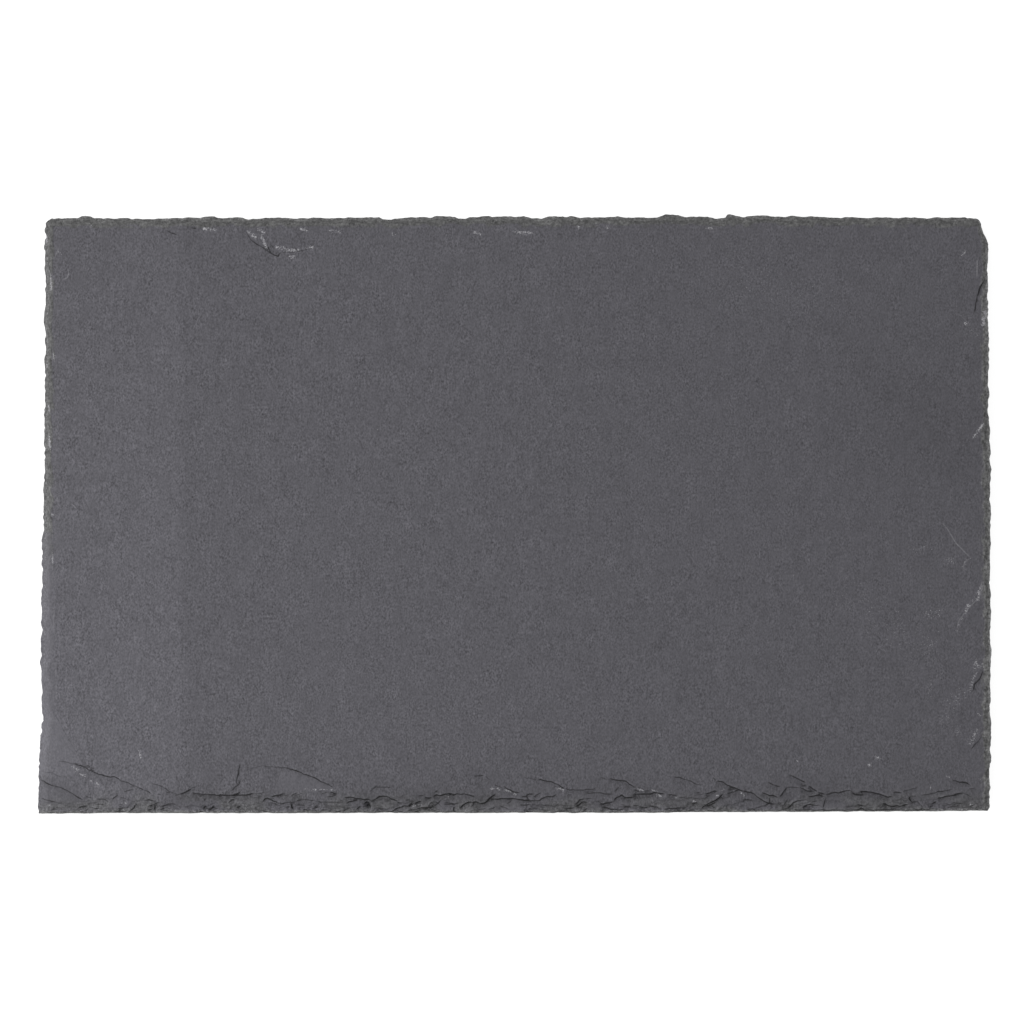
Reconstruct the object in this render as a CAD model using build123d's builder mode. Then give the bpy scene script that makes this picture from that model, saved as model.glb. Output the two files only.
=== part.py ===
from build123d import *
import math
import os
import random
from typing import NamedTuple

# Slate serving board: one riven slab with hand-dressed edges, on four stick-on rubber feet.
# Millimetres, +Z up. X runs along the long side and Y from the flaked front edge to the back edge.
# The origin is at the middle of the board, on the surface that the feet stand on.

# Slab
board_length = 400.0
board_width = 250.0
slate_thickness = 5.0

# Dressed edge: an upright broken lip below, and above it a chipped bevel up to the serving face
lip_height = 1.5
bevel_reach = 3.0
front_bevel_reach = 0.6
nick_pitch = 4.6
nick_scatter = 1.1
nick_depth = 0.9
front_nick_depth = 0.3
bevel_ripple = 1.3

# Flake scars: slate parts along its cleavage, so a scar's wall is some leaves of stone high, and its floor
# dips by a few degrees. Seen from above, the wall runs in short straight stretches with kinks between
leaf_thickness = 0.4
scar_dip = 3.0
wall_stretch = 4.0
fewest_stretches = 4
wall_kink = 0.14

# Small chips along the flaked front edge: a row of scars, each with a size between the two given
chip_pitch = 7.0
chip_scatter = 2.8
shortest_chip = 4.0
longest_chip = 9.6
least_chip_reach = 1.4
most_chip_reach = 4.0
chip_peak = 0.5
least_chip_leaves = 2.0
most_chip_leaves = 6.0

# Stick-on rubber feet
foot_diameter = 12.0
foot_draft = 0.8
foot_height = 2.5
foot_edge_radius = 0.6
foot_inset_x = 32.0
foot_inset_y = 30.0
adhesive_margin = 0.5
adhesive_thickness = 0.2

# Heights that follow from the sizes above
slate_bottom = foot_height + adhesive_thickness
slate_top = slate_bottom + slate_thickness

# The breaks of the stone are drawn from this seed, so that every build is the same
break_seed = 11


class Corner(NamedTuple):
    """One corner of the slab: which way it lies, how far it stands in, and what is nipped off it."""

    x_sign: int
    y_sign: int
    stand_in_x: float
    stand_in_y: float
    nip_x: float
    nip_y: float


class Scar(NamedTuple):
    """A flake scar on one edge: where it starts, its length, how far in it reaches, where along its
    length it reaches furthest, and how many leaves deep its wall is."""

    edge: str
    start: float
    length: float
    reach: float
    peak: float
    leaves: float


# Corners in the order in which the outline runs: anticlockwise from the front left
corners = [
    Corner(-1, -1, 0.0, 0.0, 0.4, 0.4),
    Corner(1, -1, 0.0, 1.3, 0.8, 0.8),
    Corner(1, 1, 1.2, 0.0, 4.2, 12.0),
    Corner(-1, 1, 2.5, 0.3, 3.0, 3.0),
]

# The scars that show from a step away. Each is measured along its own edge, again anticlockwise
scars = [
    Scar("front", -8.0, 62.0, 22.0, 0.30, 1.0),
    Scar("front", -4.0, 26.0, 13.0, 0.30, 2.5),
    Scar("front", 56.0, 38.0, 9.5, 0.50, 2.0),
    Scar("front", 82.0, 48.0, 20.0, 0.42, 1.0),
    Scar("front", 122.0, 62.0, 8.0, 0.45, 2.0),
    Scar("front", 172.0, 36.0, 16.0, 0.38, 1.0),
    Scar("front", 183.0, 26.0, 6.5, 0.50, 4.0),
    Scar("front", 198.0, 32.0, 15.0, 0.40, 1.5),
    Scar("front", 226.0, 38.0, 14.5, 0.40, 1.0),
    Scar("front", 246.0, 22.0, 8.5, 0.50, 3.0),
    Scar("front", 276.0, 34.0, 13.0, 0.42, 2.0),
    Scar("front", 309.0, 26.0, 16.0, 0.35, 1.0),
    Scar("front", 314.0, 54.0, 9.5, 0.55, 3.0),
    Scar("front", 356.0, 40.0, 13.0, 0.55, 1.5),
    Scar("right", 24.0, 12.0, 9.0, 0.45, 1.0),
    Scar("right", 51.0, 18.0, 11.0, 0.45, 1.0),
    Scar("right", 200.0, 22.0, 11.5, 0.50, 1.0),
    Scar("back", 274.0, 36.0, 15.0, 0.62, 1.0),
    Scar("left", 212.0, 34.0, 12.0, 0.72, 0.6),
]

breaks = random.Random(break_seed)
half_length = board_length / 2
half_width = board_width / 2

# Each edge seen from its own start: X along it, Y inward, on the serving face
edge_planes = {
    "front": Plane((-half_length, -half_width, slate_top), (1, 0, 0), (0, 0, 1)),
    "right": Plane((half_length, -half_width, slate_top), (0, 1, 0), (0, 0, 1)),
    "back": Plane((half_length, half_width, slate_top), (-1, 0, 0), (0, 0, 1)),
    "left": Plane((-half_length, half_width, slate_top), (0, -1, 0), (0, 0, 1)),
}


# Outline of the slab

def corner_ends(corner, side_inset, front_inset):
    """The two points where a nipped corner meets its edges: on its left or right edge, and on its
    front or back edge."""
    end_inset = front_inset if corner.y_sign < 0 else side_inset
    x = corner.x_sign * (half_length - corner.stand_in_x - side_inset)
    y = corner.y_sign * (half_width - corner.stand_in_y - end_inset)
    return Vector(x, y - corner.y_sign * corner.nip_y), Vector(x - corner.x_sign * corner.nip_x, y)


def edge_ends(index, side_inset, front_inset):
    """Where edge number index leaves one corner and meets the next."""
    here = corner_ends(corners[index], side_inset, front_inset)
    there = corner_ends(corners[(index + 1) % 4], side_inset, front_inset)
    runs_along_x = index % 2 == 0
    return (here[1], there[1]) if runs_along_x else (here[0], there[0])


class Break(NamedTuple):
    """One nick in an edge: its share of the way along, and how deep it is at the lip and at the bevel."""

    along: float
    lip: float
    bevel: float


def broken_edge(index, name):
    """Nicks at an uneven pitch along one edge, with random depths."""
    start, end = edge_ends(index, 0, 0)
    length = (end - start).length
    count = round(length / nick_pitch)
    depth = front_nick_depth if name == "front" else nick_depth
    ripple = 0 if name == "front" else bevel_ripple
    nicks = []
    for i in range(count):
        along = (i + 0.5) / count + breaks.uniform(-nick_scatter, nick_scatter) / length
        nicks.append(Break(along, depth * breaks.random(), ripple * breaks.random()))
    return nicks


edge_breaks = [broken_edge(i, name) for i, name in enumerate(edge_planes)]


def outline(side_inset, front_inset, at_bevel):
    """The slab's outline at one level, as points: each corner's two ends with the nicks between."""
    points = []
    for index, plane in enumerate(edge_planes.values()):
        start, end = edge_ends(index, side_inset, front_inset)
        points.append(start)
        for nick in edge_breaks[index]:
            depth = nick.lip + (nick.bevel if at_bevel else 0)
            points.append(start + (end - start) * nick.along + plane.y_dir * depth)
        points.append(end)
    return points


# Slab

def scar_plane(scar):
    """The floor of a scar: a cleavage plane that dips a little towards the edge of the slab."""
    wall_height = scar.leaves * leaf_thickness
    fall = scar.reach * math.tan(math.radians(scar_dip))
    return edge_planes[scar.edge].offset(-wall_height - fall).rotated((scar_dip, 0, 0))


def scar_wall(scar):
    """The wall of a scar from above, as points: in from half its reach outside the slab to its full reach at
    its peak, and out again, as two quarter waves with a random kink at each point."""
    count = max(fewest_stretches, round(scar.length / wall_stretch))
    outside = -scar.reach / 2
    points = [(scar.start, outside)]
    for i in range(1, count):
        along = i / count
        to_peak = min(along / scar.peak, (1 - along) / (1 - scar.peak))
        kink = 1 - wall_kink * breaks.random()
        depth = outside + (scar.reach - outside) * math.sin(math.pi / 2 * to_peak) * kink
        points.append((scar.start + scar.length * along, depth))
    points.append((scar.start + scar.length, outside))
    return points


def lost_flake(scar):
    """The stone that a scar has lost: all that lies above its floor, from its wall to outside the slab."""
    with BuildPart() as flake:
        with BuildSketch(scar_plane(scar)):
            with BuildLine():
                Polyline(*scar_wall(scar), close=True)
            make_face()
        extrude(amount=slate_thickness)
    return flake.part


def edge_chips():
    """Small deep chips along the flaked front edge, at an uneven pitch."""
    count = round(board_length / chip_pitch)
    for i in range(count):
        yield Scar(
            "front",
            i * board_length / count + breaks.uniform(-chip_scatter, chip_scatter),
            breaks.uniform(shortest_chip, longest_chip),
            breaks.uniform(least_chip_reach, most_chip_reach),
            chip_peak,
            breaks.uniform(least_chip_leaves, most_chip_leaves),
        )


lost_flakes = [lost_flake(scar) for scar in [*scars, *edge_chips()]]

with BuildPart() as slate_board:
    for level, side_inset, front_inset, at_bevel in (
        (slate_bottom, 0, 0, False),
        (slate_bottom + lip_height, 0, 0, False),
        (slate_top, bevel_reach, front_bevel_reach, True),
    ):
        with BuildSketch(Plane.XY.offset(level)):
            with BuildLine():
                Polyline(*outline(side_inset, front_inset, at_bevel), close=True)
            make_face()
    loft(ruled=True)
    add(lost_flakes, mode=Mode.SUBTRACT)
slate_board.part.label = "slate_board"


# Feet and the adhesive discs that hold them

def rubber_foot(x, y):
    """A moulded rubber foot that tapers to its tread, with the tread's edge rounded."""
    with BuildPart() as foot:
        with BuildSketch(Plane((x, y, 0), (1, 0, 0), (0, -1, 0))):
            with BuildLine():
                Polyline(
                    (0, 0),
                    (foot_diameter / 2 - foot_draft, 0),
                    (foot_diameter / 2, foot_height),
                    (0, foot_height),
                    close=True,
                )
            make_face()
        revolve(axis=Axis((x, y, 0), (0, 0, 1)))
        fillet(foot.edges().filter_by(GeomType.CIRCLE).sort_by(Axis.Z)[0], foot_edge_radius)
    return foot.part


def adhesive_disc(x, y):
    """The double-sided film between a foot and the underside of the slab."""
    with BuildPart() as disc:
        with BuildSketch(Plane((x, y, foot_height))):
            Circle(foot_diameter / 2 - adhesive_margin)
        extrude(amount=adhesive_thickness)
    return disc.part


foot_x = half_length - foot_inset_x
foot_y = half_width - foot_inset_y
pieces = [slate_board.part]
for place, x, y in (
    ("front_left", -foot_x, -foot_y),
    ("front_right", foot_x, -foot_y),
    ("back_right", foot_x, foot_y),
    ("back_left", -foot_x, foot_y),
):
    for name, piece in (("foot", rubber_foot(x, y)), ("adhesive", adhesive_disc(x, y))):
        piece.label = f"{name}_{place}"
        pieces.append(piece)

os.makedirs("parts", exist_ok=True)
for piece in pieces:
    export_step(piece, f"parts/{piece.label}.step")
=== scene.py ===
import math
from typing import NamedTuple

import bpy
import numpy as np
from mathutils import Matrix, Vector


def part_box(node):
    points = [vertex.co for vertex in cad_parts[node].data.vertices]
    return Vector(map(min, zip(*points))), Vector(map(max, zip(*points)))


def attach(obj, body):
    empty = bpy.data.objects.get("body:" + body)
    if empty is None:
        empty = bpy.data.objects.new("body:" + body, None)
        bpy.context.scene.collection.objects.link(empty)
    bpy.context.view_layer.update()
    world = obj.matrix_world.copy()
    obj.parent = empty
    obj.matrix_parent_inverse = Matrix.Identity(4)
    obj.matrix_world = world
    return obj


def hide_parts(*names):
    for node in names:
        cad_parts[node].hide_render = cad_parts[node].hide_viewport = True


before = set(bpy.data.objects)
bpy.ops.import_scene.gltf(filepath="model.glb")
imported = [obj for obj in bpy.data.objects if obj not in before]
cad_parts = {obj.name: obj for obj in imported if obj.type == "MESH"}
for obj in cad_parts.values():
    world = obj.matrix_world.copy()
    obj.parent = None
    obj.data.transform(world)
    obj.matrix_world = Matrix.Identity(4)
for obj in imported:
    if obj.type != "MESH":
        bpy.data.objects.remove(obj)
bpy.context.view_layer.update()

# Slate slab
# One leaf of riven slate, split along its cleavage and dressed to size by striking round its edges.
# That leaves a narrow chipped bevel on three sides, and along the front many small flakes torn off in steps.
mm = 0.001
slab_low, slab_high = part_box("slate_board")
left, front, bottom = np.array(slab_low) / mm
right, back, top = np.array(slab_high) / mm


def ease(share):
    """From 0 to 1 with level ends: 3t² - 2t³."""
    share = np.clip(share, 0, 1)
    return share * share * (3 - 2 * share)


def fade(distance, full, none):
    """1 up to one distance, then evenly down to 0 at another."""
    return np.clip((none - distance) / (none - full), 0, 1)


def bell(distance, width):
    """Bell curve: 1 in the middle and 1/e at the width, exp(-(d/w)²)."""
    return np.exp(-((distance / width) ** 2))


def field(u, v, cells, seed, low=0.0, high=1.0):
    """Smooth random field from low to high: random values on a lattice of cells, eased in between."""
    count = 256
    lattice = np.random.default_rng(seed).random((count, count))
    u, v = np.broadcast_arrays(np.asarray(u) / cells[0], np.asarray(v) / cells[1])
    i, j = np.floor(u).astype(int), np.floor(v).astype(int)
    a, b = ease(u - i), ease(v - j)
    i, j, i_next, j_next = i % count, j % count, (i + 1) % count, (j + 1) % count
    near = lattice[i, j] * (1 - a) + lattice[i_next, j] * a
    far = lattice[i, j_next] * (1 - a) + lattice[i_next, j_next] * a
    return low + (high - low) * (near * (1 - b) + far * b)


class Edge(NamedTuple):
    """One side of the slab: its course, as pairs of a place along it and how far it stands in there from the
    full rectangle, how rough it is, how far in and down its bevel goes, how far in its broken stone shows,
    how crumbly that is, how much paler it is, partly as paler broken stone and partly as painted light, and
    how much paler its arris is, a painted highlight."""

    course: list
    roughness: float
    bevel_reach: float
    bevel_height: float
    broken_reach: float
    crumbly: float
    paler: float
    arris_paler: float
    seed: int


# In millimetres. Places run from the left along the front and back, and from the front along the sides
front_course = [(0, 0), (25, 0.2), (250, 0.35), (290, 0.7), (350, 0.85), (400, 1.2)]
back_course = [
    (0, 0.6), (17, 0.35), (18.5, -0.2), (22, -0.2), (23.5, 0.55), (60, 0.55), (68, 0.4), (70, -0.1),
    (74, -0.25), (75.5, 0.4), (82, 0.1), (86, 0.3), (88.5, 0.95), (91, 0.55), (105, 0.5), (130, 0.1),
    (143, 0.15), (144.5, 0.95), (148, 0.9), (151, 0.4), (158, 0.15), (160, -0.25), (165, 0.1), (167, -0.5),
    (175, -0.2), (176, 0.5), (179, 0.5), (181, -0.2), (204, -0.2), (207, 0.5), (211, 0.55), (214, -0.2),
    (220, -0.5), (227, 0.15), (233, 0.1), (242, -0.2), (251, 0.1), (259, 0.1), (261.5, -0.7), (263, -1.1),
    (268, -1.1), (271, -0.2), (281, -0.2), (284, 0.4), (288, 0.5), (289, -1), (291, -0.8), (296, 0.1),
    (298, -0.6), (302, -0.6), (312, -0.3), (335, 0.1), (400, 0.4),
]
left_course = [
    (0, 0.2), (22.5, 0.4), (23.5, 0.9), (38, 1.3), (38.7, 2.1), (40.3, 2), (42.3, 1.4), (116.5, 1.7),
    (118.7, 2.3), (150, 2.6), (200, 3.2), (210.5, 2.9), (213, 3.4), (228, 2.7), (240.5, 2.7), (242, 3.6),
    (243.5, 3.1), (248, 3.3), (249, 4.2), (250, 5.6),
]
right_course = [
    (0, 1.8), (1, 1.2), (3, 0.8), (13.7, 1), (21, 0.8), (23.7, 0.5), (26.3, 0.9), (30.5, 0.4), (47, 1),
    (66, 0.9), (69, 0.5), (72.5, 0.8), (97.6, 1), (118, 0.7), (152, 1), (169, 1.6), (203, 1.75), (211, 2),
    (238.4, 2.1), (240.5, 2.5), (243, 3.3), (246, 4.4), (248.9, 5.2), (250, 6.5),
]
edges = {
    "front": Edge(
        front_course, roughness=0.06, bevel_reach=0.7, bevel_height=0.9, broken_reach=1.4,
        crumbly=0.75, paler=0.12, arris_paler=0.2, seed=21,
    ),
    "back": Edge(
        back_course, roughness=0.24, bevel_reach=2.6, bevel_height=1.7, broken_reach=4.1,
        crumbly=0.45, paler=0.02, arris_paler=0.36, seed=22,
    ),
    "left": Edge(
        left_course, roughness=0.42, bevel_reach=3.6, bevel_height=1.6, broken_reach=5.6,
        crumbly=0.35, paler=0.08, arris_paler=0.0, seed=23,
    ),
    "right": Edge(
        right_course, roughness=0.32, bevel_reach=2.4, bevel_height=1.1, broken_reach=4.0,
        crumbly=0.75, paler=0.24, arris_paler=0.66, seed=24,
    ),
}


def to_edges(x, y):
    """For each edge, the place along it and the distance in from it of points on the full rectangle."""
    return {
        "front": (x - left, y - front),
        "back": (x - left, back - y),
        "left": (y - front, x - left),
        "right": (y - front, right - x),
    }


# An outline's bumps, as (length, share of the edge's roughness, what is added to the edge's seed). They, and
# the course itself, die out over some way in from the edge
bumps = [(4.0, 1.0, 0), (1.8, 0.6, 50), (1.1, 0.5, 60)]
bumps_die_out = 5.0
course_dies_out = 16.0


def onto_outline(x, y):
    """Moves points of the full rectangle so that its sides follow the broken outline: the course and the
    bumps, each times the square of the share of its way in that is left."""
    move = {}
    for name, (along, inside) in to_edges(x, y).items():
        edge = edges[name]
        rough = np.zeros_like(along)
        for length, share, seed in bumps:
            size = share * edge.roughness
            rough += field(along, 0.0, (length, length), edge.seed + seed, -size, size)
        stand_in = np.interp(along, *np.array(edge.course).T)
        moved_by_course = stand_in * fade(inside, 0, course_dies_out) ** 2
        moved_by_bumps = rough * fade(inside, 0, bumps_die_out) ** 2
        move[name] = moved_by_course + moved_by_bumps
    return x + move["left"] - move["right"], y + move["front"] - move["back"]


class Tear(NamedTuple):
    """A line where a leaf of stone tore off: its drop, and its points as (along from the left end, in from
    the front edge). The stone is lower on the right of the line's direction, and rises again away from it."""

    drop: float
    points: list


tears = [
    # The front left corner
    Tear(0.08, [(7.4, 42), (9.6, 37.6), (13.4, 31), (17.4, 24.2)]),
    Tear(0.2, [(9, 22), (13, 21.6), (15, 20.6)]),
    Tear(0.3, [(16.4, 21.6), (17.4, 19.6)]),
    Tear(0.3, [(18.4, 21), (19.6, 18.8)]),
    Tear(0.3, [(20.6, 20.2), (21.6, 18)]),
    Tear(0.3, [(22.6, 19), (24, 16.6)]),
    Tear(0.25, [(19.4, 21.6), (22.4, 19.6), (24.6, 18.8)]),
    Tear(0.6, [
        (14.6, 21.2), (18, 20.5), (19.8, 19.5), (22.3, 18.2),
        (24.5, 17.3), (28, 16), (32.5, 15.4), (35, 14.3),
    ]),
    Tear(0.45, [(33, 15.2), (35.5, 13.9), (39.5, 12.3), (43, 10.9), (46.5, 9.3), (48, 7.8)]),
    Tear(0.45, [(0.8, 14.3), (2.6, 13.9), (4.7, 12.6), (9.5, 11), (13.5, 9.2), (16.2, 7.5), (19.5, 5.8)]),
    Tear(0.15, [(1.3, 17.7), (5.5, 17.3), (8.5, 16.1), (10.5, 15.7)]),
    Tear(0.3, [(1.2, 6.5), (5, 5.7), (10.5, 4.4)]),
    Tear(0.6, [(16.2, 1.8), (17.7, 2.6), (19, 3.2), (21.5, 3)]),
    Tear(0.6, [(19.6, 1.5), (21.8, 2.4)]),
    Tear(0.6, [(17.4, 0.8), (19.4, 0.8)]),
    Tear(0.45, [(31.3, 5.8), (32.7, 7.1), (34.2, 8.3)]),
    Tear(0.2, [(34.4, 7.4), (36.5, 6.5), (39.5, 5.6)]),
    Tear(0.55, [(38.4, 0.8), (40.3, 2.3), (41.7, 4.2)]),
    Tear(0.6, [(45.8, 3), (49, 4), (51.4, 5)]),
    Tear(0.6, [(49.3, 1), (49, 4)]),
    Tear(0.4, [(51.3, 3), (53.5, 3.6), (56, 4.2), (58.6, 4.1)]),
    Tear(0.5, [(51.4, 1.8), (53, 2.5)]),
    Tear(0.28, [(48, 13), (52, 11.8), (55.5, 9.4), (59, 8.2)]),
    # From the stroke that starts the long crack to the scoop under it
    Tear(0.9, [(59.5, 8.1), (61.6, 9), (63.3, 10), (64.9, 10.8)]),
    Tear(0.25, [(64.4, 10.6), (66.8, 11.6)]),
    Tear(0.6, [(64.3, 8.9), (68.3, 8.5), (70.5, 8.2), (78.5, 7.8)]),
    Tear(1.1, [(75.5, 7.9), (80, 7.6), (82.3, 8.1), (83.8, 8.6), (85.3, 9.8)]),
    Tear(0.75, [(81.5, 7.6), (85.1, 7.9), (87.5, 7.8), (89.3, 8.5), (91, 8.6)]),
    Tear(0.35, [(90, 8.6), (95.5, 8.8)]),
    Tear(0.45, [(83.2, 12), (83.6, 15), (84.3, 17.8), (84.7, 21.2)]),
    Tear(0.45, [(80.8, 9.6), (83, 11.5), (84.3, 12.5), (85.4, 14.8)]),
    Tear(0.9, [(69.4, 2), (70.6, 3.5)]),
    Tear(0.5, [(69.9, 5.3), (70.5, 6.9)]),
    Tear(0.9, [(71, 1.4), (72.7, 2.1), (74.1, 3.6)]),
    Tear(0.9, [(67.6, 0.9), (69.3, 0.9)]),
    Tear(0.8, [(80, 4.5), (81.4, 5.7), (83, 5.9)]),
    Tear(0.6, [(83.1, 2.6), (85.1, 3.1)]),
    # The second long tear and the broken ground below it
    Tear(0.15, [(87, 18.1), (89.7, 19), (92.3, 19.9), (95.2, 20.6)]),
    Tear(0.3, [(94.3, 20.2), (97.6, 19.7), (103, 19.4), (106.5, 19)]),
    Tear(0.55, [
        (104.5, 19.2), (108.5, 18), (111, 17), (115.3, 15.5), (118.3, 13.9), (121.9, 12.2), (124.3, 10.5),
    ]),
    Tear(0.14, [(102, 18.2), (100.5, 14), (98.4, 9.4)]),
    Tear(0.75, [(93.9, 4.7), (95.3, 6.1), (96.5, 6.5), (97.7, 5.9), (99, 5.2), (101.4, 4.7)]),
    Tear(0.6, [(97.7, 6.8), (99.4, 7.5), (101, 7.8), (103.9, 8.6)]),
    Tear(0.5, [(106.1, 7.2), (107.7, 8.4), (109.3, 9.1)]),
    Tear(0.45, [(99.8, 5), (103, 4.4), (107.6, 5), (109.3, 5.9), (112, 6.1), (116.4, 5.5)]),
    Tear(1.2, [(107.4, 1.6), (106.4, 2.8), (105.9, 4.8)]),
    Tear(0.4, [(108.3, 4), (112.7, 3.6)]),
    Tear(0.6, [(111.2, 2.2), (113, 1.8)]),
    Tear(0.5, [(115, 2), (116.5, 2.5), (118.3, 3.1)]),
    Tear(0.6, [(117.4, 5.1), (120, 5)]),
    Tear(0.3, [(119, 5), (125, 4.8), (128.3, 4.8)]),
    Tear(0.6, [(118.4, 0.9), (119.4, 1.6), (121.8, 1.9)]),
    Tear(1.0, [(124.5, 0.9), (127.3, 1)]),
    Tear(0.25, [(118, 8.1), (120.7, 9), (122.7, 9.4)]),
    Tear(0.6, [(122, 9.4), (124, 8.5), (125.9, 8.7)]),
    # The arch and the hump beside it
    Tear(0.75, [(128.3, 6.9), (131.1, 7), (132.8, 6.5), (136, 6.3), (138.7, 6), (140.2, 5.5)]),
    Tear(0.75, [(129.1, 4.2), (130.3, 5), (132, 5.4), (134.4, 5.8)]),
    Tear(1.2, [(136.5, 4), (137, 4.7), (137.8, 5.1), (138.7, 4.6), (139.2, 3.5), (139.7, 1.8)]),
    Tear(1.4, [(138.3, 4.4), (138.9, 2.6)]),
    Tear(0.9, [(133.5, 1.6), (134.4, 2.5), (135.1, 3.4)]),
    Tear(0.75, [
        (139.7, 5.2), (141.6, 6.5), (142.9, 7.2), (145.4, 7.5), (147, 7.2), (148.2, 6.2), (151.5, 5.3),
    ]),
    Tear(0.35, [(139.4, 11), (143.8, 11.1), (148.6, 11.2)]),
    Tear(0.3, [(141.4, 2.8), (144, 2.3), (146.4, 1.9)]),
    Tear(0.9, [(146, 0.8), (148.3, 1), (149.6, 1.7), (152, 2.6), (153.7, 3.3), (155.4, 3.4), (157.4, 5)]),
    Tear(1.4, [(157.9, 4.7), (161, 5.1)]),
    Tear(0.7, [(155.4, 2.6), (157, 3.8), (158.2, 4.4)]),
    Tear(0.35, [(154, 5.6), (156, 6.7)]),
    Tear(0.6, [(150.5, 4.9), (153.3, 4.7)]),
    # The middle of the front edge
    Tear(0.4, [(159.3, 7.6), (162, 7.6)]),
    Tear(1.0, [(161.8, 7.2), (163.8, 6.7), (165.3, 7)]),
    Tear(1.2, [(165.4, 7.3), (167.5, 7.9), (169.2, 7.8), (170.9, 8.3), (172.6, 8.4), (176, 8)]),
    Tear(0.45, [(175, 8.1), (178.5, 8.4), (181, 7.9), (183.4, 6.9)]),
    Tear(0.9, [(158.4, 2.1), (160.4, 2.5), (162.1, 2.8), (164.6, 2.6), (166.6, 2.7)]),
    Tear(0.45, [(166, 2.6), (167.5, 4.4), (169, 6.1)]),
    Tear(0.4, [(163.2, 2.8), (164.6, 4.6), (166, 5.6)]),
    Tear(0.55, [(170.2, 3.9), (172.6, 3.9), (176.7, 4.5)]),
    Tear(0.9, [(174.6, 0.8), (174.4, 3.4)]),
    Tear(1.0, [(176.4, 2.3), (177.6, 3.1), (178.4, 4), (179.7, 4.7), (182.2, 4.8)]),
    Tear(1.2, [
        (181.4, 4.3), (183, 5), (184.3, 5), (185.5, 4.4),
        (187.2, 4.8), (188.5, 5.7), (189.3, 7), (192.1, 8.1),
    ]),
    Tear(0.9, [(189, 5.8), (193.9, 6.2), (196.4, 6.5), (199, 6.5), (203, 6), (205.2, 5.2)]),
    Tear(0.6, [(203.5, 5.8), (207.7, 5.4), (210, 5.6), (211.1, 6.5), (212.8, 7.2), (216, 7.4), (217.7, 8.6)]),
    Tear(0.5, [(182.2, 16.1), (187.2, 16.1)]),
    Tear(0.2, [(186.8, 15.8), (191, 13.8)]),
    Tear(0.4, [(191.4, 12.4), (194.3, 11)]),
    Tear(0.5, [(194.8, 11.7), (197.3, 10.4), (199, 9.4), (202.4, 8.8)]),
    Tear(0.5, [(204.5, 7.9), (206, 8.4), (208, 8.6)]),
    Tear(0.4, [(207.8, 7.2), (209.4, 7.9), (210.9, 9.2)]),
    Tear(0.2, [(203, 15.4), (207, 14.8), (211, 14.2)]),
    Tear(0.6, [(209, 14.4), (212.7, 14), (215, 13.6), (218.2, 12.3), (219.5, 11.3), (221, 10.1)]),
    Tear(0.4, [(220.6, 10.8), (222.4, 10.2), (225.7, 10), (230.8, 10.3), (232.4, 10.3), (233.9, 11.5)]),
    Tear(0.4, [(228.7, 8.9), (235, 8.8), (238, 8.6), (241.3, 8.1)]),
    Tear(0.6, [(201.6, 3.8), (206.8, 3.9)]),
    Tear(0.22, [(206, 3.9), (215, 3.5), (222.7, 3.5)]),
    Tear(0.6, [(205.8, 2.4), (207.2, 1.8)]),
    Tear(0.7, [(203.6, 0.9), (206.8, 0.9)]),
    Tear(0.9, [(220.4, 2.2), (222.4, 2.4), (224.8, 2.8)]),
    Tear(0.7, [(216.6, 1), (221.8, 1.1)]),
    Tear(0.9, [(224.6, 3.8), (227, 5.7), (228.2, 6.2), (229.6, 6.4)]),
    Tear(0.4, [(229, 6.3), (232.3, 6.5)]),
    Tear(1.1, [(225, 2.8), (227, 4.1), (228.6, 5), (230.6, 4.8)]),
    Tear(0.5, [(228.8, 1.3), (230.5, 2.4)]),
    # The right half, with the two flakes whose floors are widest
    Tear(0.9, [(235, 4), (236.6, 4), (237.9, 4.7), (240, 4.8), (241.6, 5.3)]),
    Tear(0.9, [(241.2, 5.1), (242.5, 6.7), (244.3, 7.9), (246.2, 6.8), (248, 6.8), (249.9, 7.2)]),
    Tear(0.85, [
        (235.9, 2.7), (237.9, 2.6), (239.1, 2), (240.4, 1.7), (241.6, 2.1), (243.3, 1.6), (245.7, 2.2),
    ]),
    Tear(0.6, [(245.1, 3.1), (248.6, 2.7)]),
    Tear(0.2, [(235.3, 15.4), (238.4, 14.3)]),
    Tear(0.7, [(239.4, 15), (242, 14.2), (245.8, 13.8), (247.5, 12.9), (250.3, 11.1)]),
    Tear(0.4, [(249.7, 10.4), (252, 9.5)]),
    Tear(1.2, [(248.9, 8.1), (252.5, 8.4), (255.9, 8.4), (258, 8.9), (260, 8.8), (262.8, 8.1)]),
    Tear(0.5, [(254.2, 9.5), (256.3, 9.9)]),
    Tear(0.75, [(263.5, 8.2), (265.5, 8.2), (268.3, 7.4)]),
    Tear(0.3, [(268, 6.9), (271.4, 6.7), (274.7, 6.9)]),
    Tear(0.5, [(252.2, 2.2), (256.7, 3.1), (258.8, 3), (261.6, 1.7)]),
    Tear(0.7, [(262.2, 2.1), (267.5, 2.2), (272, 2.6)]),
    Tear(0.8, [(265.6, 0.9), (272.3, 0.9)]),
    Tear(0.9, [(274, 4.1), (276.3, 4.9)]),
    Tear(0.4, [(266, 15.7), (270.9, 14.7), (275.5, 12.8), (278, 12.2)]),
    Tear(0.35, [(276.7, 8.2), (278.8, 8.4)]),
    Tear(0.8, [(279, 8.4), (281.4, 8.8), (283.5, 9.5), (285, 9.1)]),
    Tear(0.25, [(282.4, 15.5), (284.6, 13.7)]),
    Tear(0.75, [(284, 13.9), (287.2, 13.2), (289.8, 11.5), (292.7, 10.5), (296, 9.4)]),
    Tear(0.7, [(295, 9.7), (298.6, 9), (300.2, 8.2), (301.9, 6.7), (304, 5.5), (306.9, 4.4), (309, 4.1)]),
    Tear(0.8, [(288.5, 8.5), (290.6, 8.9), (293.8, 9.7)]),
    Tear(0.5, [(289, 10.2), (292.1, 10.4)]),
    Tear(1.3, [
        (277.6, 1.9), (278.9, 3.1), (282.2, 4.9), (283.5, 5.6), (285.2, 6.5), (286, 7.3), (287.4, 8.8),
    ]),
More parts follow.
